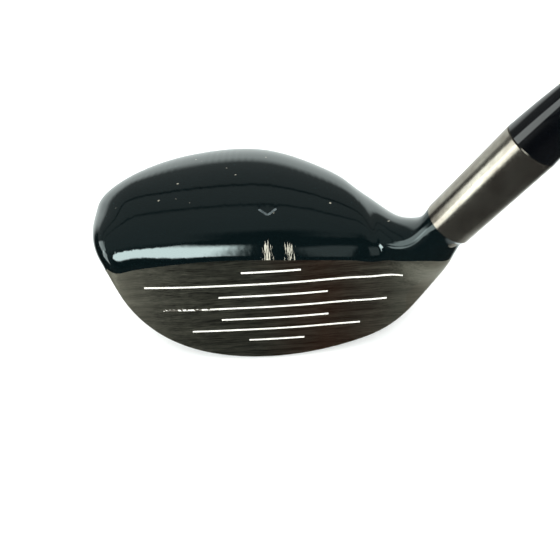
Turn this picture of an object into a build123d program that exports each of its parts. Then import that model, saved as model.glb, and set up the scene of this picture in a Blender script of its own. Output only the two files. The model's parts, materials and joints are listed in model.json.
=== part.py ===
"""Hybrid golf club: a hollow steel head, bonded to a tapered graphite shaft with a rubber grip.

Millimetres.  +Z is up, +X runs from the middle of the face towards the heel and the shaft, and
the face looks towards -Y.  The origin is on the ground, straight below the middle of the face.
"""

import os
from math import cos, hypot, radians, sin, sqrt

from build123d import *

# ---------------------------------------------------------------- driving dimensions
# whole club
CLUB_LENGTH = 1028.7            # along the shaft axis, from the ground to the end of the grip
LIE = 60.0                      # shaft axis to the ground, degrees
LOFT = 20.3                     # face to the vertical, degrees

# head
HEAD_DEPTH = 67.0               # face centre to the back of the skirt
TOE_REACH = 55.0                # face centre to the toe
CROWN_HEIGHT = 37.2             # ground to the top of the crown
FACE_CENTRE_HEIGHT = 18.0
FACE_HALF_HEIGHT = 17.8         # face centre to the leading edge, along the face
BULGE_RADIUS = 328.0            # face curvature, heel to toe
ROLL_RADIUS = 347.0             # face curvature, sole to crown
CROWN_WALL = 1.0
SKIRT_WALL = 1.2
SOLE_WALL = 1.6
FACE_THICKNESS = 2.4
HOLLOW_TO_HEEL = 22.0           # face centre to the solid metal round the hosel
PAINT_OVERLAP = 0.3             # the crown paint laps this far over the top of the face
PAINT_LEVEL_TO = 9.0            # behind the face centre, where the paint's edge starts to drop
PAINT_DROP_TO = 24.0            # behind the face centre, where it has dropped
SKIRT_PAINT_HEIGHT = 12.5       # the paint's edge round the skirt, above the ground

# score lines in the face
SCORE_SPACING = 3.79
SCORE_WIDTH = 0.52
SCORE_DEPTH = 0.45
SCORE_FLOOR_DROP = 3.0          # how far the slot cutters start below the middle of the face
SCORE_CENTRE = -0.9             # the pattern's middle, towards the toe from the face centre

# hosel, measured along the shaft axis from the height of the face centre
AXIS_OFFSET = 32.08             # face centre to the axis, towards the heel
AXIS_SETBACK = 7.07             # face centre to the axis, backwards
HOSEL_OD = 12.8
NECK_TOP = 25.06                # where the painted neck ends and the bare hosel starts
NECK_BLEND = 7.06               # length over which the neck narrows to the hosel
HOSEL_BARE_LENGTH = 26.4
HOSEL_SPIGOT_OD = 11.2          # the part of the hosel tube inside the neck
HOSEL_SPIGOT_LENGTH = 12.5
HOSEL_RIM_CHAMFER = 0.25
SHAFT_SOCKET_DEPTH = 34.0
SHAFT_STOP_THICKNESS = 2.5
BOND_GAP = 0.1                  # adhesive all round the shaft tip

# shaft
SHAFT_TIP_OD = 9.4
SHAFT_TIP_WALL = 2.2
SHAFT_TIP_PARALLEL = 110.0
SHAFT_BUTT_OD = 15.24
SHAFT_BUTT_WALL = 1.1
SHAFT_BUTT_PARALLEL = 290.0
TIP_WEIGHT_LENGTH = 18.0
FERRULE_LENGTH = 13.2
FERRULE_LIP = 0.18              # wall left at the ferrule's thin end
FERRULE_BELLY = 0.08            # how far its slope bulges past a straight cone
BAND_FROM_FERRULE = 46.0
BAND_LENGTH = 7.0
BAND_THICKNESS = 0.08

# grip
GRIP_LENGTH = 267.0
GRIP_MOUTH_OD = 18.6
GRIP_BUTT_OD = 26.4
GRIP_CAP_OD = 30.0
GRIP_CAP_THICKNESS = 4.5
GRIP_CAP_FLARE = 16.0           # length over which the grip swells out to its cap
TAPE_THICKNESS = 0.2
VENT_DIAMETER = 3.5
GRIP_RING_WIDTH = 1.2
GRIP_RING_DEPTH = 0.35
GRIP_RING_OFFSETS = (12.0, 16.0, 236.0)  # from the mouth of the grip

# sole and crown fittings
FACE_PLATE_TO_HEEL = 36.0       # face centre to the seam between the face plate and the heel
SOLE_PLATE_FROM_CENTRE = -6.0   # towards the toe from the face centre
SOLE_PLATE_SETBACK = 30.0       # behind the face centre
REAR_WEIGHT_FROM_CENTRE = -13.0
REAR_WEIGHT_RADIUS = 24.0
REAR_WEIGHT_HEIGHT = 11.0
MARK_FROM_CENTRE = -0.8
MARK_SETBACK = 18.0
SOLE_PLATE_LENGTH = 58.0        # heel to toe
SOLE_PLATE_WIDTH = 32.0         # face to back
BADGE_DIAMETER = 15.0
BADGE_DEPTH = 0.6
MARK_ARM = 3.4                  # each arm of the crown's alignment chevron
MARK_WIDTH = 0.7
MARK_DEPTH = 0.12

# ---------------------------------------------------------------- derived places
AXIS_DIR = Vector(cos(radians(LIE)), 0, sin(radians(LIE)))
AXIS_FOOT = Vector(AXIS_OFFSET, AXIS_SETBACK, FACE_CENTRE_HEIGHT)
SHAFT_AXIS = Axis(AXIS_FOOT, AXIS_DIR)
# sketch plane through the shaft axis: x is the radius, y the distance along the axis
TURNING_PLANE = Plane(AXIS_FOOT, x_dir=(sin(radians(LIE)), 0, -cos(radians(LIE))), z_dir=(0, -1, 0))

HOSEL_RADIUS = HOSEL_OD / 2
TIP_RADIUS = SHAFT_TIP_OD / 2
BUTT_RADIUS = SHAFT_BUTT_OD / 2
SOCKET_RADIUS = TIP_RADIUS + BOND_GAP
GROUND_ON_AXIS = -FACE_CENTRE_HEIGHT / sin(radians(LIE))
HOSEL_TOP = NECK_TOP + HOSEL_BARE_LENGTH
SHAFT_TIP = HOSEL_TOP - SHAFT_SOCKET_DEPTH
SOCKET_FLOOR = SHAFT_TIP - SHAFT_STOP_THICKNESS
CLUB_END = GROUND_ON_AXIS + CLUB_LENGTH
SHAFT_END = CLUB_END - GRIP_CAP_THICKNESS
GRIP_MOUTH = CLUB_END - GRIP_LENGTH

FACE_UP = Vector(0, sin(radians(LOFT)), cos(radians(LOFT)))
FACE_OUT = Vector(0, -cos(radians(LOFT)), sin(radians(LOFT)))
FACE_CENTRE = Vector(0, 0, FACE_CENTRE_HEIGHT)
FACE_PLANE = Plane(FACE_CENTRE, x_dir=(1, 0, 0), z_dir=FACE_OUT)
QUARTER = 0.5523                # handle length of a quarter arc, as a share of its radius
CLEAR = 60.0                    # how far a cutting tool runs past what it cuts


# ---------------------------------------------------------------- the head's outer skin
def on_face(across, up):
    """(y, z) of a point on the bulged and rolled face."""
    sag = across**2 / (2 * BULGE_RADIUS) + up**2 / (2 * ROLL_RADIUS)
    turn = radians(LOFT)
    return (up * sin(turn) + sag * cos(turn), FACE_CENTRE_HEIGHT + up * cos(turn) - sag * sin(turn))


def step(point, angle, distance):
    """A point moved by a distance at an angle, in a section's own plane."""
    return (point[0] + distance * cos(radians(angle)), point[1] + distance * sin(radians(angle)))


class Section:
    """One closed section of the head, seen from the toe: y to the right, height up.

    Its five corners are the top of the face, the crown, the back of the skirt, the sole and the
    leading edge.  The plane leans by tilt towards the shaft, about a pivot at (x, height).
    """

    def __init__(self, pivot, tilt, top, crown, back, sole, lead, angles, ease=(0.36, 0.45)):
        self.plane = Plane(
            (pivot[0], 0, pivot[1]), x_dir=(0, 1, 0), z_dir=(cos(radians(tilt)), 0, sin(radians(tilt)))
        )
        self.top, self.crown, self.back, self.sole, self.lead = top, crown, back, sole, lead
        self.crown_angle, self.sole_angle, self.top_angle, self.lead_angle = angles
        self.ease = ease

    def wire(self):
        """The section's outline, five Bezier edges from the top of the face round and back."""
        top, crown, back, sole, lead = self.top, self.crown, self.back, self.sole, self.lead
        rise = hypot(crown[0] - top[0], crown[1] - top[1])
        fall = hypot(sole[0] - lead[0], sole[1] - lead[1])
        height = hypot(top[0] - lead[0], top[1] - lead[1])
        edges = (
            (
                top,
                step(top, self.crown_angle, self.ease[0] * rise),
                (crown[0] - 0.5 * (crown[0] - top[0]), crown[1]),
                crown,
            ),
            (
                crown,
                (crown[0] + QUARTER * (back[0] - crown[0]), crown[1]),
                (back[0], back[1] + QUARTER * (crown[1] - back[1])),
                back,
            ),
            (
                back,
                (back[0], back[1] + QUARTER * (sole[1] - back[1])),
                (sole[0] + QUARTER * (back[0] - sole[0]), sole[1]),
                sole,
            ),
            (
                sole,
                (sole[0] - 0.5 * (sole[0] - lead[0]), sole[1]),
                step(lead, self.sole_angle, self.ease[1] * fall),
                lead,
            ),
            (
                lead,
                step(lead, self.lead_angle, height / 3),
                step(top, self.top_angle + 180, height / 3),
                top,
            ),
        )
        return Wire([Edge.make_bezier(*[self.plane.from_local_coords(p) for p in edge]) for edge in edges])


def toe_section(reach, front, crown, back, sole, edge=0.4):
    """A section beyond the face: a rounded nose instead of a top line and a leading edge."""
    top = (front[0] * HEAD_DEPTH, front[1] * CROWN_HEIGHT + edge)
    lead = (front[0] * HEAD_DEPTH, front[1] * CROWN_HEIGHT - edge)
    return Section(
        (-reach * TOE_REACH, 0),
        0,
        top,
        (crown[0] * HEAD_DEPTH, crown[1] * CROWN_HEIGHT),
        (back[0] * HEAD_DEPTH, back[1] * CROWN_HEIGHT),
        (sole[0] * HEAD_DEPTH, sole[1] * CROWN_HEIGHT),
        lead,
        (90, 270, 90, 90),
        (0.56, 0.56),
    )


def face_section(across, top_up, lead_up, crown, back, sole, angles, ease):
    """A section through the face, which follows the bulge and the roll."""
    top = on_face(across, top_up * FACE_HALF_HEIGHT)
    lead = on_face(across, lead_up * FACE_HALF_HEIGHT)
    return Section(
        (across, 0),
        0,
        top,
        (crown[0] * HEAD_DEPTH, crown[1] * CROWN_HEIGHT),
        (back[0] * HEAD_DEPTH, back[1] * CROWN_HEIGHT),
        (sole[0] * HEAD_DEPTH, sole[1] * CROWN_HEIGHT),
        lead,
        (angles[0], angles[1], 90 - LOFT, 90 - LOFT),
        ease,
    )


def neck_section(along, swell):
    """A round section across the neck, square to the shaft axis.

    swell is what it adds to the hosel's radius above, behind, below and at the front.
    """
    centre = AXIS_FOOT + AXIS_DIR * along
    above, behind, below, front = (HOSEL_RADIUS + grow for grow in swell)
    diagonal = sqrt(0.5)
    return Section(
        (centre.X, centre.Z),
        LIE,
        (AXIS_SETBACK - diagonal * front, diagonal * above),
        (AXIS_SETBACK, above),
        (AXIS_SETBACK + behind, 0),
        (AXIS_SETBACK, -below),
        (AXIS_SETBACK - diagonal * front, -diagonal * below),
        (45, 315, 45, 135),
        (0.35, 0.35),
    )


def head_sections():
    """The sections of the outer skin, from the toe to the top of the painted neck."""
    return [
        toe_section(0.9994, (0.504, 0.505), (0.535, 0.529), (0.546, 0.488), (0.535, 0.458), 0.1),
        toe_section(0.9925, (0.440, 0.535), (0.530, 0.620), (0.578, 0.475), (0.530, 0.383)),
        toe_section(0.970, (0.351, 0.582), (0.508, 0.735), (0.627, 0.455), (0.505, 0.284)),
        toe_section(0.927, (0.255, 0.650), (0.466, 0.835), (0.686, 0.437), (0.455, 0.187)),
        toe_section(0.866, (0.170, 0.715), (0.418, 0.908), (0.750, 0.420), (0.370, 0.118)),
        face_section(
            -43.5, 0.724, 0.330, (0.372, 0.958), (0.816, 0.406), (0.275, 0.070),
            (76, 285), (0.40, 0.45),
        ),
        face_section(
            -37.5, 0.775, -0.290, (0.326, 0.984), (0.892, 0.396), (0.195, 0.037),
            (68, 294), (0.37, 0.43),
        ),
        face_section(
            -30.0, 0.822, -0.650, (0.293, 0.996), (0.951, 0.391), (0.172, 0.020),
            (63, 308), (0.34, 0.37),
        ),
        face_section(
            -19.0, 0.872, -0.900, (0.267, 1.003), (0.990, 0.390), (0.170, 0.009),
            (58, 326), (0.32, 0.30),
        ),
        face_section(
            -5.0, 0.865, -1.000, (0.254, 1.000), (0.986, 0.390), (0.170, 0.006),
            (56, 335), (0.32, 0.28),
        ),
        face_section(
            10.0, 0.803, -0.944, (0.239, 0.978), (0.874, 0.398), (0.150, 0.014),
            (56, 330), (0.32, 0.30),
        ),
        face_section(
            20.0, 0.736, -0.826, (0.219, 0.944), (0.742, 0.419), (0.130, 0.048),
            (58, 318), (0.34, 0.36),
        ),
        Section(
            (27.6, 18.3), 8, (5.2, 11.8), (13.0, 16.1), (0.594 * HEAD_DEPTH, -1.2), (7.0, -13.8),
            (-2.7, -11.4), (60, 308, 69, 71), (0.36, 0.40),
        ),
        Section(
            (31.9, 20.3), 20, (5.4, 10.4), (11.6, 14.2), (0.510 * HEAD_DEPTH, -0.4), (7.6, -12.7),
            (-0.9, -9.6), (61, 304, 70, 72), (0.37, 0.44),
        ),
        Section(
            (35.1, 23.8), 34, (5.0, 8.4), (10.0, 11.6), (0.408 * HEAD_DEPTH, 0.2), (7.8, -11.7),
            (1.2, -8.4), (57, 306, 66, 84), (0.36, 0.42),
        ),
        Section(
            (38.0, 28.6), 48, (3.2, 6.2), (8.4, 8.8), (0.296 * HEAD_DEPTH, 0.4), (7.4, -10.0),
            (2.0, -7.0), (50, 311, 54, 114), (0.35, 0.36),
        ),
        neck_section(NECK_TOP - NECK_BLEND, (0.6, 1.5, 0.9, 0.4)),
        neck_section(NECK_TOP, (0, 0, 0, 0)),
    ]


# every section keeps its five edges, so the corners run on from one section to the next
with BuildPart() as head_skin:
    add(Solid.make_loft([section.wire() for section in head_sections()]))

# ---------------------------------------------------------------- solids that shape the pieces
# everything at least one face thickness behind the face, a ring about the bulge's centre
with BuildPart() as behind_face:
    with BuildSketch(Plane.YZ):
        with BuildLine():
            middle = FACE_CENTRE - FACE_OUT * FACE_THICKNESS
            edge = middle - FACE_OUT * CLEAR**2 / (2 * ROLL_RADIUS)
            high, low = edge + FACE_UP * CLEAR, edge - FACE_UP * CLEAR
            deep = FACE_OUT * 2 * CLEAR
            ThreePointArc(*[(point.Y, point.Z) for point in (low, middle, high)])
            Polyline(*[(point.Y, point.Z) for point in (high, high - deep, low - deep, low)])
        make_face()
    revolve(axis=Axis(FACE_CENTRE - FACE_OUT * BULGE_RADIUS, FACE_UP))

# everything behind the floors of the score lines
with BuildPart() as behind_slots:
    add(behind_face.part.moved(Location(FACE_OUT * (FACE_THICKNESS - SCORE_DEPTH))))

# the hollow inside the head: the skin shrunk by its walls, closed in front by the face plate's back
# and towards the heel by the solid metal round the hosel
HOLLOW_CENTRE = Vector(HOLLOW_TO_HEEL - (TOE_REACH + HOLLOW_TO_HEEL) / 2, HEAD_DEPTH / 2, CROWN_HEIGHT / 2)
HOLLOW_SHRINK = (
    1 - 2 * SKIRT_WALL / (TOE_REACH + HOLLOW_TO_HEEL),
    1 - 2 * SKIRT_WALL / HEAD_DEPTH,
    1 - (CROWN_WALL + SOLE_WALL) / CROWN_HEIGHT,
)
with BuildPart() as shrunk_skin:
    add(head_skin.part.moved(Location(-HOLLOW_CENTRE)))
    scale(by=HOLLOW_SHRINK)
hollow_skin = shrunk_skin.part.moved(Location(HOLLOW_CENTRE + Vector(0, 0, (SOLE_WALL - CROWN_WALL) / 2)))
with BuildPart() as hollow:
    with BuildSketch(Plane.XZ.offset(-HEAD_DEPTH - CLEAR)):
        with BuildLine():
            Polyline(
                (-TOE_REACH - CLEAR, -CLEAR),
                (HOLLOW_TO_HEEL, -CLEAR),
                (HOLLOW_TO_HEEL, CROWN_HEIGHT + CLEAR),
                (-TOE_REACH - CLEAR, CROWN_HEIGHT + CLEAR),
                close=True,
            )
        make_face()
    extrude(amount=HEAD_DEPTH + 2 * CLEAR)
    add(hollow_skin, mode=Mode.INTERSECT)
    add(behind_face.part, mode=Mode.INTERSECT)

# everything below the edge of the crown's paint: level over the face, dropping round the skirt
PAINT_EDGE = (
    (-TOE_REACH - 5, 26.4), (-44.0, 28.85), (-33.0, 30.75), (-20.0, 32.25), (-8.0, 32.45), (5.0, 31.75),
    (15.0, 30.65), (22.0, 29.85), (28.0, 29.3), (31.8, 30.1), (34.7, 31.95), (39.5, 33.6),
    (44.0, 32.5), (48.0, 31.5), (TOE_REACH + 5, 29.0),
)
FRONT_EDGE = [(x, z - PAINT_OVERLAP) for x, z in PAINT_EDGE]
SKIRT_EDGE = [(x, SKIRT_PAINT_HEIGHT) for x, z in PAINT_EDGE]
PAINT_STATIONS = (
    (-CLEAR, FRONT_EDGE), (PAINT_LEVEL_TO, FRONT_EDGE),
    (PAINT_DROP_TO, SKIRT_EDGE), (HEAD_DEPTH + CLEAR, SKIRT_EDGE),
)
with BuildPart() as below_paint:
    for setback, edge in PAINT_STATIONS:
        with BuildSketch(Plane.XZ.offset(-setback)):
            with BuildLine():
                Spline(*edge)
                Polyline(edge[-1], (edge[-1][0], -CLEAR), (edge[0][0], -CLEAR), edge[0])
            make_face()
    loft(ruled=True)

# ---------------------------------------------------------------- the pieces
os.makedirs("parts", exist_ok=True)


def write(piece, name):
    """Label a finished piece and write its STEP file."""
    piece.part.label = name
    export_step(piece.part, f"parts/{name}.step")


def profile(*points):
    """A closed outline of (radius, distance along the axis), to turn about the shaft axis."""
    with BuildSketch(TURNING_PLANE) as outline:
        with BuildLine():
            Polyline(*points, close=True)
        make_face()
    return outline.sketch


def tube(outer, inner, start, end):
    """The outline of a plain tube on the shaft axis."""
    return profile((inner, start), (outer, start), (outer, end), (inner, end))


def rod(radius, start, end):
    """The outline of a plain round bar on the shaft axis."""
    return profile((0, start), (radius, start), (radius, end), (0, end))


# ---- hosel tube: bare above the neck, a thinner spigot inside it
with BuildPart() as hosel_tube:
    outline = profile(
        (SOCKET_RADIUS, SOCKET_FLOOR),
        (SOCKET_RADIUS, HOSEL_TOP),
        (HOSEL_RADIUS - HOSEL_RIM_CHAMFER, HOSEL_TOP),
        (HOSEL_RADIUS, HOSEL_TOP - HOSEL_RIM_CHAMFER),
        (HOSEL_RADIUS, NECK_TOP),
        (HOSEL_SPIGOT_OD / 2, NECK_TOP),
        (HOSEL_SPIGOT_OD / 2, NECK_TOP - HOSEL_SPIGOT_LENGTH),
        (0, NECK_TOP - HOSEL_SPIGOT_LENGTH),
        (0, SOCKET_FLOOR),
    )
    revolve(outline, axis=SHAFT_AXIS)
write(hosel_tube, "hosel_tube")

with BuildPart() as spigot_hole:
    revolve(rod(HOSEL_SPIGOT_OD / 2, NECK_TOP - HOSEL_SPIGOT_LENGTH, NECK_TOP + CLEAR), axis=SHAFT_AXIS)

# ---- score lines: shallow slots square to the face, filled with white enamel
SCORE_LINES = ((3, 16.0), (2, 70.3), (1, 30.0), (0, 62.6), (-1, 30.1), (-2, 48.0), (-3, 15.9))
with BuildPart() as score_slots:
    for row, length in SCORE_LINES:
        with BuildSketch(FACE_PLANE.offset(-SCORE_DEPTH - SCORE_FLOOR_DROP)):
            with Locations((SCORE_CENTRE, row * SCORE_SPACING)):
                Rectangle(length, SCORE_WIDTH)
        extrude(amount=CLEAR / 2)
    # the slots keep their depth as the face curves away, so their floor is the face moved inwards
    add(behind_slots.part, mode=Mode.SUBTRACT)
with BuildPart() as score_line_fill:
    add(score_slots.part)
    add(head_skin.part, mode=Mode.INTERSECT)
write(score_line_fill, "score_line_fill")

# ---- face plate: the whole front of the head below the paint, as far as the hosel
with BuildPart() as heel_side:
    with BuildSketch(Plane.XZ.offset(CLEAR)):
        with BuildLine():
            Polyline(
                (FACE_PLATE_TO_HEEL, -CLEAR),
                (FACE_PLATE_TO_HEEL, FACE_CENTRE_HEIGHT),
                (FACE_PLATE_TO_HEEL + CLEAR * AXIS_DIR.X, FACE_CENTRE_HEIGHT + CLEAR * AXIS_DIR.Z),
                (TOE_REACH + 2 * CLEAR, FACE_CENTRE_HEIGHT + CLEAR * AXIS_DIR.Z),
                (TOE_REACH + 2 * CLEAR, -CLEAR),
                close=True,
            )
        make_face()
    extrude(amount=-HEAD_DEPTH - 2 * CLEAR)
with BuildPart() as face_plate:
    add(head_skin.part)
    add(below_paint.part, mode=Mode.INTERSECT)
    add(behind_face.part, mode=Mode.SUBTRACT)
    add(heel_side.part, mode=Mode.SUBTRACT)
    add(spigot_hole.part, mode=Mode.SUBTRACT)
    add(score_slots.part, mode=Mode.SUBTRACT)
write(face_plate, "face_plate")

# ---- crown shell: the painted roof, upper skirt and neck
with BuildPart() as alignment_prism:
    with BuildSketch(Plane.XY):
        with Locations((MARK_FROM_CENTRE, MARK_SETBACK)):
            for side in (-1, 1):
                with Locations(Location((side * MARK_ARM * sqrt(0.5) / 2, 0), 45 * side)):
                    SlotOverall(MARK_ARM, MARK_WIDTH)
    extrude(amount=CROWN_HEIGHT + CLEAR)
with BuildPart() as alignment_mark:
    add(alignment_prism.part)
    add(head_skin.part, mode=Mode.INTERSECT)
    add(head_skin.part.moved(Location((0, 0, -MARK_DEPTH))), mode=Mode.SUBTRACT)
write(alignment_mark, "alignment_mark")
with BuildPart() as crown_shell:
    add(head_skin.part)
    add(below_paint.part, mode=Mode.SUBTRACT)
    add(hollow.part, mode=Mode.SUBTRACT)
    add(spigot_hole.part, mode=Mode.SUBTRACT)
    add(alignment_mark.part, mode=Mode.SUBTRACT)
write(crown_shell, "crown_shell")

# ---- sole plate and badge: let into the sole
with BuildPart() as sole_plate_prism:
    with BuildSketch(Plane.XY.offset(-CLEAR)):
        with Locations((SOLE_PLATE_FROM_CENTRE, SOLE_PLATE_SETBACK)):
            Ellipse(SOLE_PLATE_LENGTH / 2, SOLE_PLATE_WIDTH / 2)
    extrude(amount=CLEAR + FACE_CENTRE_HEIGHT / 2)
with BuildPart() as badge_prism:
    with BuildSketch(Plane.XY.offset(-CLEAR)):
        with Locations((SOLE_PLATE_FROM_CENTRE, SOLE_PLATE_SETBACK)):
            Circle(BADGE_DIAMETER / 2)
    extrude(amount=CLEAR + FACE_CENTRE_HEIGHT / 2)
with BuildPart() as sole_badge:
    add(badge_prism.part)
    add(head_skin.part, mode=Mode.INTERSECT)
    add(head_skin.part.moved(Location((0, 0, BADGE_DEPTH))), mode=Mode.SUBTRACT)
write(sole_badge, "sole_badge")
with BuildPart() as sole_plate:
    add(sole_plate_prism.part)
    add(head_skin.part, mode=Mode.INTERSECT)
    add(hollow.part, mode=Mode.SUBTRACT)
    add(sole_badge.part, mode=Mode.SUBTRACT)
write(sole_plate, "sole_plate")

# ---- body shell: the skirt, the sole round its plate and the solid heel
with BuildPart() as body_shell:
    add(head_skin.part)
    add(below_paint.part, mode=Mode.INTERSECT)
    add(hollow.part, mode=Mode.SUBTRACT)
    add(sole_plate_prism.part, mode=Mode.SUBTRACT)
    add(spigot_hole.part, mode=Mode.SUBTRACT)
    add(face_plate.part, mode=Mode.SUBTRACT)
    add(score_line_fill.part, mode=Mode.SUBTRACT)
write(body_shell, "body_shell")

# ---- rear weight: cast to the inside of the sole and skirt at the back
with BuildPart() as rear_weight:
    with BuildSketch(Plane.XY.offset(-CLEAR)):
        with Locations((REAR_WEIGHT_FROM_CENTRE, HEAD_DEPTH)):
            Circle(REAR_WEIGHT_RADIUS)
    extrude(amount=CLEAR + REAR_WEIGHT_HEIGHT)
    add(hollow.part, mode=Mode.INTERSECT)
write(rear_weight, "rear_weight")

# ---- inside the hosel: a stop for the shaft tip and the adhesive round it
with BuildPart() as shaft_stop:
    revolve(rod(SOCKET_RADIUS, SOCKET_FLOOR, SHAFT_TIP), axis=SHAFT_AXIS)
write(shaft_stop, "shaft_stop")

with BuildPart() as epoxy_bond:
    revolve(tube(SOCKET_RADIUS, TIP_RADIUS, SHAFT_TIP, HOSEL_TOP), axis=SHAFT_AXIS)
write(epoxy_bond, "epoxy_bond")

# ---- ferrule: a tapered collar from the hosel down to the shaft
FERRULE_END = HOSEL_TOP + FERRULE_LENGTH
with BuildPart() as ferrule:
    with BuildSketch(TURNING_PLANE):
        with BuildLine():
            slope = ThreePointArc(
                (HOSEL_RADIUS, HOSEL_TOP),
                (
                    (HOSEL_RADIUS + TIP_RADIUS + FERRULE_LIP) / 2 + FERRULE_BELLY,
                    (HOSEL_TOP + FERRULE_END) / 2,
                ),
                (TIP_RADIUS + FERRULE_LIP, FERRULE_END),
            )
            Polyline(slope @ 1, (TIP_RADIUS, FERRULE_END), (TIP_RADIUS, HOSEL_TOP), slope @ 0)
        make_face()
    revolve(axis=SHAFT_AXIS)
write(ferrule, "ferrule")

# ---- shaft: parallel tip, long taper, parallel butt under the grip
TAPER_START = SHAFT_TIP + SHAFT_TIP_PARALLEL
TAPER_END = SHAFT_END - SHAFT_BUTT_PARALLEL
TIP_BORE = TIP_RADIUS - SHAFT_TIP_WALL
BUTT_BORE = BUTT_RADIUS - SHAFT_BUTT_WALL
with BuildPart() as shaft:
    outline = profile(
        (TIP_BORE, SHAFT_TIP),
        (TIP_RADIUS, SHAFT_TIP),
        (TIP_RADIUS, TAPER_START),
        (BUTT_RADIUS, TAPER_END),
        (BUTT_RADIUS, SHAFT_END),
        (BUTT_BORE, SHAFT_END),
        (BUTT_BORE, TAPER_END),
        (TIP_BORE, TAPER_START),
    )
    revolve(outline, axis=SHAFT_AXIS)
write(shaft, "shaft")

with BuildPart() as tip_weight:
    revolve(rod(TIP_BORE, SHAFT_TIP, SHAFT_TIP + TIP_WEIGHT_LENGTH), axis=SHAFT_AXIS)
write(tip_weight, "tip_weight")


def shaft_radius(along):
    """The shaft's outer radius at a distance along its axis."""
    share = (along - TAPER_START) / (TAPER_END - TAPER_START)
    return TIP_RADIUS + (BUTT_RADIUS - TIP_RADIUS) * min(max(share, 0), 1)


# ---- a plain printed band round the shaft
BAND_START = FERRULE_END + BAND_FROM_FERRULE
BAND_END = BAND_START + BAND_LENGTH
with BuildPart() as shaft_band:
    outline = profile(
        (shaft_radius(BAND_START), BAND_START),
        (shaft_radius(BAND_START) + BAND_THICKNESS, BAND_START),
        (shaft_radius(BAND_END) + BAND_THICKNESS, BAND_END),
        (shaft_radius(BAND_END), BAND_END),
    )
    revolve(outline, axis=SHAFT_AXIS)
write(shaft_band, "shaft_band")

# ---- grip: tape under a rubber sleeve, with painted rings and a hard cap
TAPE_RADIUS = BUTT_RADIUS + TAPE_THICKNESS
with BuildPart() as grip_tape:
    revolve(tube(TAPE_RADIUS, BUTT_RADIUS, GRIP_MOUTH, SHAFT_END), axis=SHAFT_AXIS)
write(grip_tape, "grip_tape")

FLARE_START = SHAFT_END - GRIP_CAP_FLARE


def grip_radius(along):
    """The grip's outer radius between its mouth and the start of its flare."""
    share = (along - GRIP_MOUTH) / (FLARE_START - GRIP_MOUTH)
    return (GRIP_MOUTH_OD + (GRIP_BUTT_OD - GRIP_MOUTH_OD) * share) / 2


def ring_outline(start, proud):
    """One painted ring's outline, which follows the grip's taper and stands proud of it."""
    end = start + GRIP_RING_WIDTH
    return profile(
        (grip_radius(start) - GRIP_RING_DEPTH, start),
        (grip_radius(start) + proud, start),
        (grip_radius(end) + proud, end),
        (grip_radius(start) - GRIP_RING_DEPTH, end),
    )


with BuildPart() as grip_rings:
    for offset in GRIP_RING_OFFSETS:
        revolve(ring_outline(GRIP_MOUTH + offset, 0), axis=SHAFT_AXIS)
write(grip_rings, "grip_rings")
with BuildPart() as ring_grooves:
    for offset in GRIP_RING_OFFSETS:
        revolve(ring_outline(GRIP_MOUTH + offset, GRIP_RING_WIDTH), axis=SHAFT_AXIS)

with BuildPart() as grip:
    with BuildSketch(TURNING_PLANE):
        with BuildLine():
            body = Line((grip_radius(GRIP_MOUTH), GRIP_MOUTH), (grip_radius(FLARE_START), FLARE_START))
            flare = Bezier(
                body @ 1,
                (body @ 1) + (body % 1) * (GRIP_CAP_FLARE / 2),
                (GRIP_CAP_OD / 2, SHAFT_END - GRIP_CAP_FLARE / 3),
                (GRIP_CAP_OD / 2, SHAFT_END),
            )
            Polyline(flare @ 1, (TAPE_RADIUS, SHAFT_END), (TAPE_RADIUS, GRIP_MOUTH), body @ 0)
        make_face()
    revolve(axis=SHAFT_AXIS)
    add(ring_grooves.part, mode=Mode.SUBTRACT)
write(grip, "grip")

with BuildPart() as grip_cap:
    with BuildSketch(TURNING_PLANE):
        with BuildLine():
            rim = ThreePointArc(
                (GRIP_CAP_OD / 2, SHAFT_END),
                (
                    GRIP_CAP_OD / 2 - GRIP_CAP_THICKNESS * (1 - sqrt(0.5)),
                    SHAFT_END + GRIP_CAP_THICKNESS * sqrt(0.5),
                ),
                (GRIP_CAP_OD / 2 - GRIP_CAP_THICKNESS, CLUB_END),
            )
            Polyline(rim @ 1, (VENT_DIAMETER / 2, CLUB_END), (VENT_DIAMETER / 2, SHAFT_END), rim @ 0)
        make_face()
    revolve(axis=SHAFT_AXIS)
write(grip_cap, "grip_cap")
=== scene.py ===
"""Looks of a hybrid golf club: painted crown, brushed face, satin hosel, lacquered shaft, rubber grip."""

import json
import math

import bmesh
import bpy
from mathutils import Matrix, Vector


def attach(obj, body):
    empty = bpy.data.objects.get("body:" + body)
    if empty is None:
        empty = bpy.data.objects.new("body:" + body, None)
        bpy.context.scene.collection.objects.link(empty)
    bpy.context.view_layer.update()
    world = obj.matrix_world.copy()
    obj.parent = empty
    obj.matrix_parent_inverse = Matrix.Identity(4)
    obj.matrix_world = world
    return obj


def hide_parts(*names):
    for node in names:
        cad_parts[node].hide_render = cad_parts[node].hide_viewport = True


bl_info = {
    "name": "Hybrid golf club",
    "version": (1, 0, 0),
    "blender": (4, 5, 0),
    "location": "View3D > Sidebar > Golf club",
    "description": "Builds the visible pieces, finishes and studio of a hybrid golf club",
    "category": "Add Mesh",
}

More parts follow.
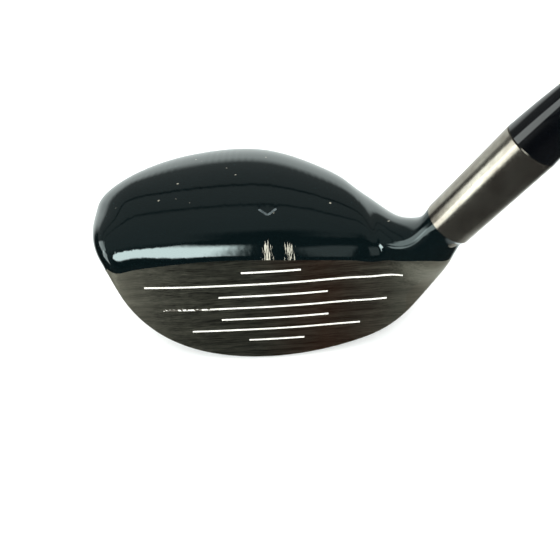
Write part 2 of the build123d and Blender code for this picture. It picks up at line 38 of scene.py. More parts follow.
MM = 0.001
FLARE_STEPS = 10
CAD_WELD = 0.004 * MM     # joins the loose triangles of a CAD mesh
TURNED_WELD = 0.02 * MM   # closes a turned outline, whose last ring drifts a little off its first
FLOOR_GAP = 0.15 * MM  # keeps the sole clear of the floor
SMOOTH_ANGLE = math.radians(34)  # edges sharper than this stay sharp on the CAD shapes
TURNED_ANGLE = math.radians(40)  # and on the turned pieces
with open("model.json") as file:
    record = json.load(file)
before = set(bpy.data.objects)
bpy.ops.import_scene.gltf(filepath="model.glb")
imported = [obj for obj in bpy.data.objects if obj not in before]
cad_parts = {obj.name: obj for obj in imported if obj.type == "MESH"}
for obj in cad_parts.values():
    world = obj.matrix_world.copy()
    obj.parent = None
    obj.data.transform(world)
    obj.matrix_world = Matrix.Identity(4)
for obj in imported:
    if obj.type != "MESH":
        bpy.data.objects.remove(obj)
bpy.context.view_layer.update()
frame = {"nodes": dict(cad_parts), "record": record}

# ---------------------------------------------------------------- places that come from the frame
MOUNTS = {mount["name"]: mount for mount in frame["record"]["mounts"]}
AXIS = Vector(MOUNTS["butt_face"]["axis"]).normalized()
CLUB_END = Vector(MOUNTS["butt_face"]["pos_m"])
LOFT = math.radians(20.3)
FACE_OUT = Vector((0, -math.cos(LOFT), math.sin(LOFT)))


def along(point):
    """Distance of a point along the shaft axis, back from the end of the grip."""
    return (Vector(point) - CLUB_END).dot(AXIS)


def span(node):
    """(start, end) of a turned CAD node along the shaft axis, from its own vertices."""
    places = [along(vertex.co) for vertex in frame["nodes"][node].data.vertices]
    return min(places), max(places)


def radii(node, place=None, reach=0.2 * MM):
    """(least, greatest) radius of a turned CAD node, all along it or near one place on the axis."""
    found = []
    for vertex in frame["nodes"][node].data.vertices:
        here = along(vertex.co)
        if place is None or abs(here - place) <= reach:
            found.append((vertex.co - CLUB_END - AXIS * here).length)
    return min(found), max(found)


# ---------------------------------------------------------------- node kinds
TEXTURE_PLACE, MAPPING, SEPARATE = "ShaderNodeTexCoord", "ShaderNodeMapping", "ShaderNodeSeparateXYZ"
NOISE, VORONOI, RAMP = "ShaderNodeTexNoise", "ShaderNodeTexVoronoi", "ShaderNodeValToRGB"
MATHS, MIX, MAP_RANGE, BUMP = "ShaderNodeMath", "ShaderNodeMix", "ShaderNodeMapRange", "ShaderNodeBump"

# ---------------------------------------------------------------- wear on the head, and a painted warm reflection on the face
CHIP_PATCHES = (-1.4 * MM, 4.4 * MM)        # middles of the two patches of chips, heel to toe
CHIP_PATCH_REACH = 3.4 * MM
CHIP_FRONT, CHIP_FADE = 7.8 * MM, 3.0 * MM  # setback where the chips are thickest, and how far they thin out
BRUSH_LENGTHS = 0.09 / MM                   # brush strokes along the face are about 11 mm long
FACE_MIDDLE, FACE_REACH = -1.0 * MM, 45 * MM
# painted reflection: middle and reach of a warm brown cloud painted on the face, and how fine the cloud is
WARM_REFLECTION_MIDDLE, WARM_REFLECTION_REACH = 13 * MM, 20 * MM
WARM_REFLECTION_DENSITY = (0.045 / MM, 0.045 / MM, 0.060 / MM)
FACE_CENTRE_HEIGHT = 18 * MM
WORN_FROM, WORN_ROW_REACH = -16.5 * MM, 1.2 * MM

# ---------------------------------------------------------------- camera and booth
CAMERA_PLACE = (4.77 * MM, -81.63 * MM, 136.04 * MM)
CAMERA_TURN = (37.52, 3.42, -2.14)          # degrees
CAMERA_LENS = 33.3
# the booth as the club mirrors it: (strength, bearing window, height window), each window in degrees as
# (low, high, softness below, softness above). Bearing 0 is behind the club and -90 is past the toe.
BOOTH_DARK = 0.012
BOOTH_WALL = ((-42, 60, 14, 30), (-100, 0, 1, 9))
BOOTH_CARDS = (
    (12.5, (-160, -136, 14, 4), (29, 52, 6, 14)),
    (0.5, (150, 166, 10, 8), (20, 44, 6, 10)),
    (3.2, (-112, -95, 3, 3), (-10, 14, 6, 8)),
    (2.6, (-98, -72, 5, 5), (6, 30, 6, 9)),
    (0.16, (-110, 110, 25, 25), (6, 26, 5, 1)),
    (0.18, (-110, 110, 25, 25), (28.5, 38.5, 1, 1)),
    (0.20, (-110, 110, 25, 25), (41, 70, 1.5, 14)),
    (0.04, (100, 180, 30, 1), (-60, -4, 10, 12)),
    (0.03, (-180, -110, 1, 20), (-60, -4, 10, 12)),
    (0.6, (-180, 180, 1, 1), (-90, -62, 1, 14)),
)

# ---------------------------------------------------------------- settings
class ClubSizes(bpy.types.PropertyGroup):
    """Sizes of the details that the frame doesn't give."""

    rim_bevel: bpy.props.FloatProperty(
        name="Rim bevel", description="Rounding of the leading edge", default=0.45 * MM, unit="LENGTH"
    )
    brush_pitch: bpy.props.FloatProperty(
        name="Brush pitch", description="Spacing of the brush lines", default=0.22 * MM, unit="LENGTH"
    )
    ferrule_lip: bpy.props.FloatProperty(
        name="Ferrule lip", description="Chamfer at the ferrule's wide end", default=0.12 * MM, unit="LENGTH"
    )
    ferrule_belly: bpy.props.FloatProperty(
        name="Ferrule belly", description="Swell of the ferrule's side", default=0.10 * MM, unit="LENGTH"
    )
    grip_cell: bpy.props.FloatProperty(
        name="Grip cell", description="Length of a row of the pattern", default=2.1 * MM, unit="LENGTH"
    )
    grip_columns: bpy.props.IntProperty(
        name="Grip columns", description="Cells round the grip", default=48
    )
    grip_border: bpy.props.FloatProperty(
        name="Grip border", description="Sloping border of a dimple", default=0.28 * MM, unit="LENGTH"
    )
    grip_depth: bpy.props.FloatProperty(
        name="Grip depth", description="Depth of a dimple", default=0.45 * MM, unit="LENGTH"
    )
    grip_lip: bpy.props.FloatProperty(
        name="Grip lip", description="Chamfer at the mouth of the grip", default=0.5 * MM, unit="LENGTH"
    )
    grip_ring_depth: bpy.props.FloatProperty(
        name="Ring groove", description="Depth of the rings' grooves", default=0.35 * MM, unit="LENGTH"
    )
    grip_flare: bpy.props.FloatProperty(
        name="Grip flare", description="Length of the swell to the cap", default=16 * MM, unit="LENGTH"
    )


class ClubColours(bpy.types.PropertyGroup):
    """Colours of the finishes, as sRGB hex values."""

    paint: bpy.props.StringProperty(
        name="Crown paint", description="Gloss enamel on the crown", default="040A0B"
    )
    face: bpy.props.StringProperty(name="Face steel", description="Worn brushed steel", default="8C8A7C")
    hosel: bpy.props.StringProperty(name="Hosel steel", description="Satin turned steel", default="B9B4A8")
    enamel: bpy.props.StringProperty(
        name="Score enamel", description="Paint in the score lines", default="E4E2DA"
    )
    rubber: bpy.props.StringProperty(name="Grip rubber", description="Moulded grip rubber", default="1B1B1C")


def sizes():
    """The size settings."""
    return bpy.context.scene.club_sizes


def colours():
    """The colour settings."""
    return bpy.context.scene.club_colours


# ---------------------------------------------------------------- material tools
def linear(hex_colour):
    """An sRGB hex value as a linear colour."""
    parts = [int(hex_colour[i : i + 2], 16) / 255 for i in (0, 2, 4)]
    return (*[c / 12.92 if c <= 0.04045 else ((c + 0.055) / 1.055) ** 2.4 for c in parts], 1.0)


def feed(tree, made, inputs):
    """Sets a node's inputs, by name or number. Sockets, and nodes by their first output, are linked."""
    for key, value in inputs.items():
        if isinstance(value, bpy.types.Node):
            value = next(output for output in value.outputs if output.enabled)
        if isinstance(value, bpy.types.NodeSocket):
            tree.links.new(value, made.inputs[key])
        else:
            made.inputs[key].default_value = value


def node(tree, kind, inputs, stops=(), **settings):
    """Adds a node with its settings, its inputs and, for a colour ramp, its stops of (position, colour)."""
    made = tree.nodes.new(kind)
    for key, value in settings.items():
        setattr(made, key, value)
    if stops:
        elements = made.color_ramp.elements
        elements.remove(elements[-1])
        elements[0].position, elements[0].color = stops[0]
        for position, colour in stops[1:]:
            elements.new(position).color = colour
    feed(tree, made, inputs)
    return made


def new_material(name):
    """(material, tree, principled shader, object coordinates) of a new material."""
    material = bpy.data.materials.new(name)
    material.use_nodes = True
    tree = material.node_tree
    place = node(tree, TEXTURE_PLACE, {}).outputs["Object"]
    return material, tree, tree.nodes["Principled BSDF"], place


def grey(value):
    """A neutral colour."""
    return (value, value, value, 1.0)


# ---------------------------------------------------------------- finishes
def crown_enamel():
    """Sprayed gloss enamel under clear coat: deep black with a green-blue cast, sharp reflections,
    tiny chips of bare steel near the front edge and faint dust specks."""
    material, tree, shader, place = new_material("gloss_crown_enamel")
    x, y, z = node(tree, SEPARATE, {0: place}).outputs
    # chips: short strokes running front to back, in two patches beside the middle of the front edge
    patches = []
    for centre in CHIP_PATCHES:
        off = node(tree, MATHS, {0: x, 1: centre}, operation="SUBTRACT")
        off = node(tree, MATHS, {0: off}, operation="ABSOLUTE")
        patches.append(node(tree, MAP_RANGE, {0: off, 1: 0.0, 2: CHIP_PATCH_REACH, 3: 1.0, 4: 0.0}))
    patch = node(tree, MATHS, {0: patches[0], 1: patches[1]}, operation="MAXIMUM")
    front = node(tree, MAP_RANGE, {0: y, 1: CHIP_FRONT, 2: CHIP_FRONT + CHIP_FADE, 3: 1.0, 4: 0.0})
    crowded = node(tree, MATHS, {0: patch, 1: front}, operation="MULTIPLY")
    crowded = node(tree, MATHS, {0: crowded, 1: 0.6}, operation="POWER")
    crowded = node(tree, MATHS, {0: crowded, 1: 0.52}, operation="MULTIPLY")
    # a stroke is about 0.2 mm wide and 3 mm long
    stroke_place = node(tree, MAPPING, {0: place, "Scale": (4.6 / MM, 0.3 / MM, 0.3 / MM)})
    strokes = node(tree, NOISE, {"Vector": stroke_place, "Scale": 1.0, "Detail": 4.0, "Roughness": 0.65})
    chips = node(tree, MATHS, {0: crowded, 1: strokes}, operation="ADD")
    chips = node(tree, RAMP, {0: chips}, stops=((0.98, grey(0.0)), (1.0, grey(1.0))))
    # specks: pin-prick chips 0.8 mm across, sparse, anywhere on the crown
    dots = node(tree, VORONOI, {"Vector": place, "Scale": 0.21 / MM}, feature="F1")
    dots = node(tree, RAMP, {0: dots}, stops=((0.04, grey(1.0)), (0.085, grey(0.0))))
    spread = node(tree, NOISE, {"Vector": place, "Scale": 0.14 / MM, "Detail": 1.0, "Roughness": 0.5})
    spread = node(tree, RAMP, {0: spread}, stops=((0.44, grey(0.0)), (0.48, grey(1.0))))
    specks = node(tree, MATHS, {0: dots, 1: spread}, operation="MULTIPLY")
    specks = node(tree, MATHS, {0: specks, 1: 0.6}, operation="MULTIPLY")
    wear = node(tree, MATHS, {0: chips, 1: specks}, operation="MAXIMUM", use_clamp=True)
    cloud = node(tree, NOISE, {"Vector": place, "Scale": 0.03 / MM, "Detail": 2.0, "Roughness": 0.5})
    paint = node(tree, MIX, {0: cloud, 6: linear(colours().paint), 7: linear("060E10")}, data_type="RGBA")
    colour = node(tree, MIX, {0: wear, 6: paint, 7: linear("B9B2A2")}, data_type="RGBA")
    # polish marks about 1 mm apart, running front to back
    polish_place = node(tree, MAPPING, {0: place, "Scale": (0.9 / MM, 0.07 / MM, 0.07 / MM)})
    haze = node(tree, NOISE, {"Vector": polish_place, "Scale": 1.0, "Detail": 3.0, "Roughness": 0.5})
    haze = node(tree, RAMP, {0: haze}, stops=((0.3, grey(0.05)), (0.8, grey(0.10))))
    bare = node(tree, MATHS, {0: wear, 1: 0.4}, operation="MULTIPLY")
    rough = node(tree, MATHS, {0: haze, 1: bare}, operation="ADD", use_clamp=True)
    feed(tree, shader, {
        "Base Color": colour,
        "Roughness": rough,
        "IOR": 1.5,
        "Specular Tint": (0.84, 1.0, 1.0, 1.0),
        "Coat Weight": 0.35,
        "Coat Roughness": 0.02,
        "Coat Tint": (0.93, 1.0, 1.0, 1.0),
    })
    return material


def brushed_steel(name, base, pale, warm_reflection=False, pitch=None):
    """Stainless steel brushed heel to toe: fine horizontal lines that stretch its highlights, duller and
    paler towards the ends, and, when asked, a painted warm brown reflection on the heel side of the middle."""
    material, tree, shader, place = new_material(name)
    pitch = pitch or sizes().brush_pitch
    x = node(tree, SEPARATE, {0: place}).outputs[0]
    fine_place = node(tree, MAPPING, {0: place, "Scale": (BRUSH_LENGTHS, 1 / pitch, 1 / pitch)})
    fine = node(tree, NOISE, {"Vector": fine_place, "Scale": 1.0, "Detail": 5.0, "Roughness": 0.75})
    broad_place = node(tree, MAPPING, {0: place, "Scale": (0.2 * BRUSH_LENGTHS, 0.2 / pitch, 0.2 / pitch)})
    broad = node(tree, NOISE, {"Vector": broad_place, "Scale": 1.0, "Detail": 3.0, "Roughness": 0.5})
    fine = node(tree, MATHS, {0: fine, 1: 0.7}, operation="MULTIPLY")
    broad = node(tree, MATHS, {0: broad, 1: 0.3}, operation="MULTIPLY")
    lines = node(tree, MATHS, {0: fine, 1: broad}, operation="ADD")
    tone = node(tree, RAMP, {0: lines}, stops=((0.38, linear(base)), (0.62, linear(pale))))
    ends = node(tree, MATHS, {0: x, 1: FACE_MIDDLE}, operation="SUBTRACT")
    ends = node(tree, MATHS, {0: ends}, operation="ABSOLUTE")
    ends = node(tree, MATHS, {0: ends, 1: FACE_REACH}, operation="DIVIDE", use_clamp=True)
    ends = node(tree, MATHS, {0: ends, 1: 4.0}, operation="POWER")
    pale_ends = node(tree, MATHS, {0: ends, 1: 0.7}, operation="MULTIPLY")
    colour = node(tree, MIX, {0: pale_ends, 6: tone, 7: linear("A09C8C")}, data_type="RGBA")
    # painted reflection: a warm brown cloud mixed into the colour on the heel side of the middle stands in
    # for something warm that the face mirrors
    if warm_reflection:
        reflection_place = node(tree, MAPPING, {0: place, "Location": (0.3, 0, 0), "Scale": WARM_REFLECTION_DENSITY})
        reflection_cloud = node(tree, NOISE, {"Vector": reflection_place, "Scale": 1.0, "Detail": 2.0, "Roughness": 0.5})
        near = node(tree, MATHS, {0: x, 1: WARM_REFLECTION_MIDDLE}, operation="SUBTRACT")
        near = node(tree, MATHS, {0: near}, operation="ABSOLUTE")
        near = node(tree, MAP_RANGE, {0: near, 1: 0.0, 2: WARM_REFLECTION_REACH, 3: 1.0, 4: 0.0})
        warm = node(tree, MATHS, {0: near, 1: reflection_cloud}, operation="MULTIPLY")
        colour = node(tree, MIX, {0: warm, 6: colour, 7: linear("7A4A34")}, data_type="RGBA")
    dull_ends = node(tree, MATHS, {0: ends, 1: 0.22}, operation="MULTIPLY")
    dull_lines = node(tree, MATHS, {0: lines, 1: 0.05}, operation="MULTIPLY")
    dull = node(tree, MATHS, {0: dull_ends, 1: dull_lines}, operation="ADD")
    metallic = node(tree, MATHS, {0: 1.0, 1: dull}, operation="SUBTRACT", use_clamp=True)
    rough = node(tree, RAMP, {0: lines}, stops=((0.3, grey(0.28)), (0.7, grey(0.46))))
    relief = node(tree, BUMP, {"Height": lines, "Strength": 0.5, "Distance": 0.02 * MM})
    feed(tree, shader, {"Base Color": colour, "Metallic": metallic, "Roughness": rough, "Normal": relief})
    return material


def satin_hosel():
    """Turned stainless steel polished along its length: a bright streak with a grainy edge."""
    material, tree, shader, place = new_material("satin_turned_steel")
    grain = node(tree, NOISE, {"Vector": place, "Scale": 1.5 / MM, "Detail": 3.0, "Roughness": 0.7})
    cloud = node(tree, NOISE, {"Vector": place, "Scale": 0.13 / MM, "Detail": 3.0, "Roughness": 0.6})
    tone = node(tree, RAMP, {0: cloud}, stops=((0.30, linear("857C72")), (0.75, linear(colours().hosel))))
    rough = node(tree, RAMP, {0: grain}, stops=((0.25, grey(0.13)), (0.80, grey(0.27))))
    relief = node(tree, BUMP, {"Height": grain, "Strength": 0.35, "Distance": 0.02 * MM})
    feed(tree, shader, {"Base Color": tone, "Metallic": 0.98, "Roughness": rough, "Normal": relief})
    return material


def score_enamel():
    """White enamel wiped into the score lines: satin, a little grubby, and worn off the toe end of
    the middle one."""
    material, tree, shader, place = new_material("white_score_enamel")
    grime = node(tree, NOISE, {"Vector": place, "Scale": 0.42 / MM, "Detail": 3.0, "Roughness": 0.5})
    grime = node(tree, RAMP, {0: grime}, stops=((0.35, linear("D9D6CC")), (0.6, linear(colours().enamel))))
    worn_place = node(tree, MAPPING, {0: place, "Scale": (0.9 / MM, 0.9 / MM, 0.9 / MM)})
    worn = node(tree, NOISE, {"Vector": worn_place, "Scale": 1.0, "Detail": 2.0, "Roughness": 0.5})
    x, y, z = node(tree, SEPARATE, {0: place}).outputs
    toe_end = node(tree, MATHS, {0: x, 1: WORN_FROM}, operation="LESS_THAN")
    off_row = node(tree, MATHS, {0: z, 1: FACE_CENTRE_HEIGHT}, operation="SUBTRACT")
    off_row = node(tree, MATHS, {0: off_row}, operation="ABSOLUTE")
    middle_row = node(tree, MATHS, {0: off_row, 1: WORN_ROW_REACH}, operation="LESS_THAN")
    where = node(tree, MATHS, {0: toe_end, 1: middle_row}, operation="MULTIPLY")
    lost = node(tree, MATHS, {0: worn, 1: 0.52}, operation="GREATER_THAN")
    lost = node(tree, MATHS, {0: lost, 1: where}, operation="MULTIPLY")
    colour = node(tree, MIX, {0: lost, 6: grime, 7: linear("4A463E")}, data_type="RGBA")
    relief = node(tree, BUMP, {"Height": worn, "Strength": 0.2, "Distance": 0.03 * MM})
    feed(tree, shader, {"Base Color": colour, "Roughness": 0.45, "Normal": relief})
    return material


def lacquered(name, base, tint, rough):
    """Black plastic or lacquered graphite: near black, with a soft long streak and faint polish marks."""
    material, tree, shader, place = new_material(name)
    cloud = node(tree, NOISE, {"Vector": place, "Scale": 0.09 / MM, "Detail": 2.0, "Roughness": 0.5})
    tone = node(tree, MIX, {0: cloud, 6: linear(base), 7: linear(tint)}, data_type="RGBA")
    haze = node(tree, NOISE, {"Vector": place, "Scale": 0.7 / MM, "Detail": 3.0, "Roughness": 0.5})
    haze = node(tree, RAMP, {0: haze}, stops=((0.3, grey(rough)), (0.8, grey(rough * 2.2))))
    feed(tree, shader, {
        "Base Color": tone,
        "Roughness": haze,
        "IOR": 1.5,
        "Coat Weight": 0.4,
        "Coat Roughness": 0.05,
    })
    return material


def grip_rubber():
    """Moulded rubber: soft broad sheen, fine grain, and dust in cloudy patches."""
    material, tree, shader, place = new_material("moulded_grip_rubber")
    grain = node(tree, NOISE, {"Vector": place, "Scale": 1.5 / MM, "Detail": 4.0, "Roughness": 0.6})
    dust = node(tree, NOISE, {"Vector": place, "Scale": 0.12 / MM, "Detail": 4.0, "Roughness": 0.5})
    dust = node(tree, RAMP, {0: dust}, stops=((0.35, linear(colours().rubber)), (0.8, linear("2B2A28"))))
    rough = node(tree, RAMP, {0: grain}, stops=((0.3, grey(0.52)), (0.7, grey(0.72))))
    relief = node(tree, BUMP, {"Height": grain, "Strength": 0.5, "Distance": 0.06 * MM})
    feed(tree, shader, {"Base Color": dust, "Roughness": rough, "IOR": 1.45, "Normal": relief})
    return material


def plain_finish(name, base, tint, rough, metallic=0.0, grain=0.3 / MM):
    """A small or hidden piece's finish: two close tones and an uneven sheen."""
    material, tree, shader, place = new_material(name)
    tone = node(tree, NOISE, {"Vector": place, "Scale": grain, "Detail": 3.0, "Roughness": 0.5})
    tone = node(tree, RAMP, {0: tone}, stops=((0.3, linear(base)), (0.7, linear(tint))))
    sheen = node(tree, NOISE, {"Vector": place, "Scale": grain * 3, "Detail": 2.0, "Roughness": 0.5})
    sheen = node(tree, RAMP, {0: sheen}, stops=((0.3, grey(rough * 0.8)), (0.7, grey(rough * 1.2))))
    feed(tree, shader, {"Base Color": tone, "Roughness": sheen, "Metallic": metallic})
    return material


# ---------------------------------------------------------------- mesh tools
def select_only(piece):
    """Makes a piece the only selected and the active object."""
    bpy.ops.object.select_all(action="DESELECT")
    piece.hide_set(False)
    piece.select_set(True)
    bpy.context.view_layer.objects.active = piece


def skin_of(name, original):
    """A new piece with the shape of a CAD node: one merged, smooth-shaded skin."""
    bpy.ops.object.select_all(action="DESELECT")
    piece = frame["nodes"][original].copy()
    piece.data = frame["nodes"][original].data.copy()
    piece.parent = None
    bpy.context.scene.collection.objects.link(piece)
    piece.select_set(True)
    bpy.context.view_layer.objects.active = piece
    piece.name = name
    piece.data.name = name
    piece.data.materials.clear()
    bpy.ops.mesh.customdata_custom_splitnormals_clear()
    bpy.ops.object.mode_set(mode="EDIT")
    bpy.ops.mesh.select_all(action="SELECT")
    bpy.ops.mesh.remove_doubles(threshold=CAD_WELD)
    bpy.ops.object.mode_set(mode="OBJECT")
    bpy.ops.object.shade_smooth_by_angle(angle=SMOOTH_ANGLE)
    return piece


def finish_piece(piece, material, slot, *nodes):
    """Gives a piece its finish and its body, and hides the CAD nodes it stands for."""
    piece.data.materials.clear()
    piece.data.materials.append(material)
    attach(piece, "root")
    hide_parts(*nodes)


def round_leading_edge(face):
    """Rounds the edge where the face turns under to the sole, as polishing leaves it."""
    select_only(face)
    bpy.ops.object.mode_set(mode="EDIT")
    bpy.ops.mesh.select_mode(type="EDGE")
    bpy.ops.mesh.select_all(action="DESELECT")
    mesh = bmesh.from_edit_mesh(face.data)
    for edge in mesh.edges:
        if len(edge.link_faces) == 2:
            first, second = sorted((side.normal for side in edge.link_faces), key=lambda n: n.z)
            on_face = second.dot(FACE_OUT) > 0.93
            turns_under = on_face and first.z < -0.15 and first.dot(second) < 0.94
            edge.select = turns_under and min(v.co.z for v in edge.verts) < 24 * MM
    mesh.select_flush_mode()
    bmesh.update_edit_mesh(face.data)
    bpy.ops.mesh.bevel(offset=sizes().rim_bevel, segments=3, clamp_overlap=True)
    bpy.ops.object.mode_set(mode="OBJECT")
    bpy.ops.object.shade_smooth_by_angle(angle=SMOOTH_ANGLE)


def turned(name, outline, segments):
    """A turned piece: a small ring swept along its outline of (place on the axis, radius), as on a lathe."""
    bpy.ops.object.select_all(action="DESELECT")
    start, radius = outline[0]
    bpy.ops.mesh.primitive_circle_add(
        vertices=segments,
        radius=radius,
        location=CLUB_END + AXIS * start,
        rotation=AXIS.to_track_quat("Z", "Y").to_euler(),
    )
    piece = bpy.context.view_layer.objects.active
    piece.name = name
    piece.data.name = name
    bpy.ops.object.transform_apply(location=True, rotation=True, scale=True)
    bpy.ops.object.mode_set(mode="EDIT")
    bpy.ops.mesh.select_all(action="SELECT")
    for (before, was), (after, now) in zip(outline, outline[1:]):
        bpy.ops.mesh.extrude_region_move(TRANSFORM_OT_translate={"value": AXIS * (after - before)})
        bpy.ops.transform.resize(value=(now / was,) * 3, center_override=CLUB_END + AXIS * after)
    bpy.ops.mesh.select_all(action="SELECT")
    bpy.ops.mesh.remove_doubles(threshold=TURNED_WELD)
    bpy.ops.mesh.normals_make_consistent(inside=False)
    bpy.ops.object.mode_set(mode="OBJECT")
    return piece


# ---------------------------------------------------------------- operators
class CLUB_OT_head(bpy.types.Operator):
    """Crown, face and body of the head"""

    bl_idname = "club.head"
    bl_label = "Head"

    def execute(self, context):
        crown = skin_of("painted_crown", "crown_shell")
        finish_piece(crown, crown_enamel(), "black_paint", "crown_shell")
        face = skin_of("brushed_face", "face_plate")
        round_leading_edge(face)
        # the face gets the painted warm brown reflection
        face_steel = brushed_steel("brushed_face_steel", "33352F", colours().face, warm_reflection=True)
        finish_piece(face, face_steel, "face_steel", "face_plate")
        body = skin_of("cast_body", "body_shell")
        body_steel = brushed_steel("brushed_body_steel", "4A463E", "7C7567")
        finish_piece(body, body_steel, "body_steel", "body_shell")
        return {"FINISHED"}


class CLUB_OT_hosel(bpy.types.Operator):
    """Bare hosel and ferrule"""

    bl_idname = "club.hosel"
    bl_label = "Hosel and ferrule"

    def execute(self, context):
        start, end = span("ferrule")
        inner = radii("ferrule")[0]
        wide = radii("ferrule", start)[1]
        thin = radii("ferrule", end)[1]
        lip = sizes().ferrule_lip
        steps = 14
        outline = [(start, inner), (start, wide - lip)]
        for step in range(steps + 1):
            share = step / steps
            belly = sizes().ferrule_belly * math.sin(math.pi * share)
            rise = lip if step == 0 else 0.0
            place = start + rise + (end - start) * share * 0.99
            outline.append((place, wide + (thin - wide) * share + belly))
        outline += [(end, thin - sizes().ferrule_belly), (end, inner), (start, inner)]
        ferrule = turned("turned_ferrule", outline, 96)
        select_only(ferrule)
        bpy.ops.object.shade_smooth_by_angle(angle=TURNED_ANGLE)
        plastic = lacquered("polished_ferrule_plastic", "020203", "05070A", 0.05)
        finish_piece(ferrule, plastic, "ferrule_plastic", "ferrule")
        hosel = skin_of("bare_hosel", "hosel_tube")
        finish_piece(hosel, satin_hosel(), "hosel_steel", "hosel_tube")
        return {"FINISHED"}


class CLUB_OT_grip(bpy.types.Operator):
    """Moulded grip: a turned sleeve with grooves for its painted rings and rows of small dimples"""

    bl_idname = "club.grip"
    bl_label = "Grip"

    def execute(self, context):
        start, end = span("grip")
        bore = radii("grip_tape")[1]
        mouth = radii("grip", start)[1]
        rim = radii("grip", end)[1]
        ring_mesh = frame["nodes"]["grip_rings"].data
        places = sorted({round(along(vertex.co) / MM, 1) * MM for vertex in ring_mesh.vertices})
        rings = list(zip(places[::2], places[1::2]))
        ring_radius = radii("grip_rings")[1]
        slope = (ring_radius - mouth) / (rings[-1][1] - start)
        flare = end - sizes().grip_flare

        def radius(place):
            """The sleeve's radius, with its flare towards the cap."""
            straight = mouth + slope * (place - start)
            share = max(0.0, (place - flare) / (end - flare))
            return straight + (rim - mouth - slope * (end - start)) * share**2 * (3 - 2 * share)

        cell = sizes().grip_cell
        first, last = rings[1][1] + cell, rings[2][0] - cell
        rows = int((last - first) / cell)
        stops = [start + sizes().grip_lip] + [first + cell * row for row in range(rows + 1)]
        stops += [flare + (end - flare) * step / FLARE_STEPS for step in range(FLARE_STEPS + 1)]
        outline = [(start, bore), (start, mouth - sizes().grip_lip)]
        outline += [(place, radius(place)) for place in stops]
        for low, high in rings:
            floor = radius(low) - sizes().grip_ring_depth
            outline += [(low, radius(low)), (low, floor), (high, floor), (high, radius(high))]
        outline.sort(key=lambda stop: stop[0])
        outline += [(end, bore), (start, bore)]
        grip = turned("moulded_grip", outline, sizes().grip_columns)
        self.dimple(grip, first, cell, rows)
        bpy.ops.object.shade_smooth_by_angle(angle=TURNED_ANGLE)
        finish_piece(grip, grip_rubber(), "grip_rubber", "grip")
        return {"FINISHED"}

    def dimple(self, grip, first, cell, rows):
        """Presses every other cell of every other row in, each with a sloping border."""
        across = AXIS.to_track_quat("Z", "Y") @ Vector((1, 0, 0))
        beside = AXIS.cross(across)
        columns = sizes().grip_columns
        select_only(grip)
        bpy.ops.object.mode_set(mode="EDIT")
        bpy.ops.mesh.select_mode(type="FACE")
        bpy.ops.mesh.select_all(action="DESELECT")
        mesh = bmesh.from_edit_mesh(grip.data)
        for face in mesh.faces:
            centre = face.calc_center_median()
            spoke = centre - CLUB_END - AXIS * along(centre)
            row = math.floor((along(centre) - first) / cell)
            turn = math.atan2(spoke.dot(beside), spoke.dot(across)) / (2 * math.pi)
            column = math.floor(turn * columns)
            outside = face.normal.dot(spoke) > 0
            pressed = row % 2 == 0 and (column + row // 2) % 2 == 0
            face.select = outside and 0 <= row < rows and pressed
        mesh.select_flush_mode()
        bmesh.update_edit_mesh(grip.data)
        bpy.ops.mesh.inset(thickness=sizes().grip_border, use_individual=True)
        bpy.ops.transform.shrink_fatten(value=-sizes().grip_depth)
        bpy.ops.object.mode_set(mode="OBJECT")


class CLUB_OT_carried(bpy.types.Operator):
    """Finishes of the CAD pieces that keep their own meshes"""

    bl_idname = "club.carried"
    bl_label = "Carried pieces"

    def execute(self, context):
        carried = {
            "score_line_fill": score_enamel(),
            "alignment_mark": plain_finish("faint_mark_paint", "3C4446", "6A7375", 0.3),
            "sole_plate": brushed_steel("brushed_sole_plate", "6F695E", "A39C8E", pitch=0.3 * MM),
            "sole_badge": plain_finish("spun_badge_aluminium", "A9ABAD", "C4C6C8", 0.25, 1.0, 0.9 / MM),
            "rear_weight": plain_finish("cast_weight_alloy", "3A3835", "55524D", 0.6, 1.0),
            "shaft_stop": plain_finish("moulded_nylon_stop", "141414", "1E1E1E", 0.5),
            "epoxy_bond": plain_finish("cured_epoxy", "8A7A4E", "A08F5E", 0.3),
            "tip_weight": plain_finish("turned_brass_weight", "9C7A35", "B8934A", 0.3, 1.0),
            "shaft": lacquered("lacquered_graphite", "07080A", "0C1014", 0.08),
            "shaft_band": plain_finish("silver_band_print", "9EA2A6", "B5B9BC", 0.25, 0.6),
            "grip_tape": plain_finish("paper_grip_tape", "B5AA8C", "CFC4A6", 0.8),
            "grip_rings": plain_finish("white_ring_paint", "D8D7D2", "E6E5E0", 0.5),
            "grip_cap": grip_rubber(),
        }
        for name, material in carried.items():
            materials = frame["nodes"][name].data.materials
            materials.clear()
            materials.append(material)
        return {"FINISHED"}


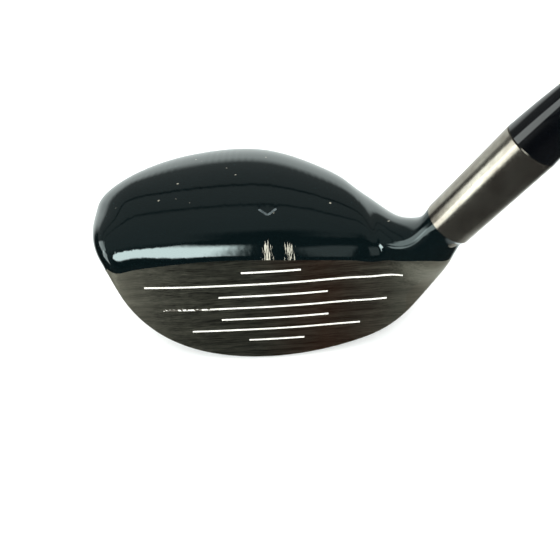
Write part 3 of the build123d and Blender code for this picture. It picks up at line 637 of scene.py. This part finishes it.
class CLUB_OT_stage(bpy.types.Operator):
    """Pale floor, soft studio light and the camera"""

    bl_idname = "club.stage"
    bl_label = "Stage"

    def execute(self, context):
        self.floor()
        self.sky()
        self.lamp()
        self.camera()
        context.scene.view_settings.view_transform = "Standard"
        return {"FINISHED"}

    def floor(self):
        """A wide white sweep under the sole."""
        bpy.ops.object.select_all(action="DESELECT")
        bpy.ops.mesh.primitive_plane_add(size=60, location=(0, 0, -FLOOR_GAP))
        floor = bpy.context.view_layer.objects.active
        floor.name = "floor"
        material, tree, shader, place = new_material("white_paper_sweep")
        feed(tree, shader, {"Base Color": grey(0.93), "Roughness": 0.9, "Specular IOR Level": 0.1})
        floor.data.materials.append(material)
        floor.visible_glossy = False

    def sky(self):
        """A white booth. Gloss paint and steel mirror its dark walls, a low white wall behind the club and
        the soft cards round it. Everything else is lit plain white."""
        world = bpy.data.worlds.new("booth")
        bpy.context.scene.world = world
        world.use_nodes = True
        tree = world.node_tree
        direction = node(tree, TEXTURE_PLACE, {}).outputs["Generated"]
        x, y, z = node(tree, SEPARATE, {0: direction}).outputs
        turn = node(tree, MATHS, {0: x, 1: y}, operation="ARCTAN2")
        turn = node(tree, MATHS, {0: turn, 1: 180 / math.pi}, operation="MULTIPLY")
        rise = node(tree, MATHS, {0: z}, operation="ARCSINE")
        rise = node(tree, MATHS, {0: rise, 1: 180 / math.pi}, operation="MULTIPLY")

        def window(angle, low, high, soft_low, soft_high):
            """1 between two angles, with a soft edge outside each."""
            edges = ((low - soft_low, low), (high + soft_high, high))
            lower, upper = [
                node(tree, MAP_RANGE, {0: angle, 1: start, 2: end}, interpolation_type="SMOOTHSTEP")
                for start, end in edges
            ]
            return node(tree, MATHS, {0: lower, 1: upper}, operation="MULTIPLY")

        light = BOOTH_DARK
        for strength, turns, rises in ((1.0, *BOOTH_WALL), *BOOTH_CARDS):
            card = node(tree, MATHS, {0: window(turn, *turns), 1: window(rise, *rises)}, operation="MULTIPLY")
            card = node(tree, MATHS, {0: card, 1: strength}, operation="MULTIPLY")
            light = node(tree, MATHS, {0: light, 1: card}, operation="ADD")
        mirrored = node(
            tree, MIX, {0: 1.0, 6: light, 7: (0.93, 1.0, 0.98, 1.0)}, data_type="RGBA", blend_type="MULTIPLY"
        )
        rays = node(tree, "ShaderNodeLightPath", {}).outputs
        seen, lit = rays["Is Camera Ray"], rays["Is Diffuse Ray"]
        plain = node(tree, MATHS, {0: seen, 1: lit}, operation="ADD", use_clamp=True)
        shown = node(tree, MIX, {0: plain, 6: mirrored, 7: grey(1.0)}, data_type="RGBA")
        feed(tree, tree.nodes["Background"], {0: shown})

    def lamp(self):
        """A broad fill overhead that metal and paint don't mirror."""
        data = bpy.data.lights.new("fill", "AREA")
        data.shape = "RECTANGLE"
        data.size, data.size_y = 4, 4
        data.energy = 60
        lamp = bpy.data.objects.new("fill", data)
        bpy.context.scene.collection.objects.link(lamp)
        lamp.location = (0, 0, 3.0)
        lamp.visible_glossy = False

    def camera(self):
        """Close in front of the face and above it, looking down at the crown."""
        data = bpy.data.cameras.new("view")
        data.sensor_width = 36.0
        data.lens = CAMERA_LENS
        data.clip_start = 5 * MM
        camera = bpy.data.objects.new("view", data)
        bpy.context.scene.collection.objects.link(camera)
        camera.location = CAMERA_PLACE
        camera.rotation_euler = [math.radians(angle) for angle in CAMERA_TURN]
        bpy.context.scene.camera = camera


class CLUB_PT_panel(bpy.types.Panel):
    """Lists the steps that build the club"""

    bl_idname = "CLUB_PT_panel"
    bl_label = "Golf club"
    bl_space_type = "VIEW_3D"
    bl_region_type = "UI"
    bl_category = "Golf club"

    def draw(self, context):
        for operator in OPERATORS:
            self.layout.operator(operator.bl_idname)
        for settings in (context.scene.club_sizes, context.scene.club_colours):
            for name in settings.bl_rna.properties.keys():
                if name not in ("rna_type", "name"):
                    self.layout.prop(settings, name)


OPERATORS = (CLUB_OT_head, CLUB_OT_hosel, CLUB_OT_grip, CLUB_OT_carried, CLUB_OT_stage)
CLASSES = (ClubSizes, ClubColours, *OPERATORS, CLUB_PT_panel)


def register():
    """Adds the classes and the scene's settings."""
    for each in CLASSES:
        bpy.utils.register_class(each)
    bpy.types.Scene.club_sizes = bpy.props.PointerProperty(type=ClubSizes)
    bpy.types.Scene.club_colours = bpy.props.PointerProperty(type=ClubColours)


def unregister():
    """Takes them away again."""
    del bpy.types.Scene.club_colours
    del bpy.types.Scene.club_sizes
    for each in reversed(CLASSES):
        bpy.utils.unregister_class(each)


def main():
    """Builds the club and its stage."""
    register()
    bpy.ops.club.head()
    bpy.ops.club.hosel()
    bpy.ops.club.grip()
    bpy.ops.club.carried()
    bpy.ops.club.stage()


if __name__ == "__main__":
    main()
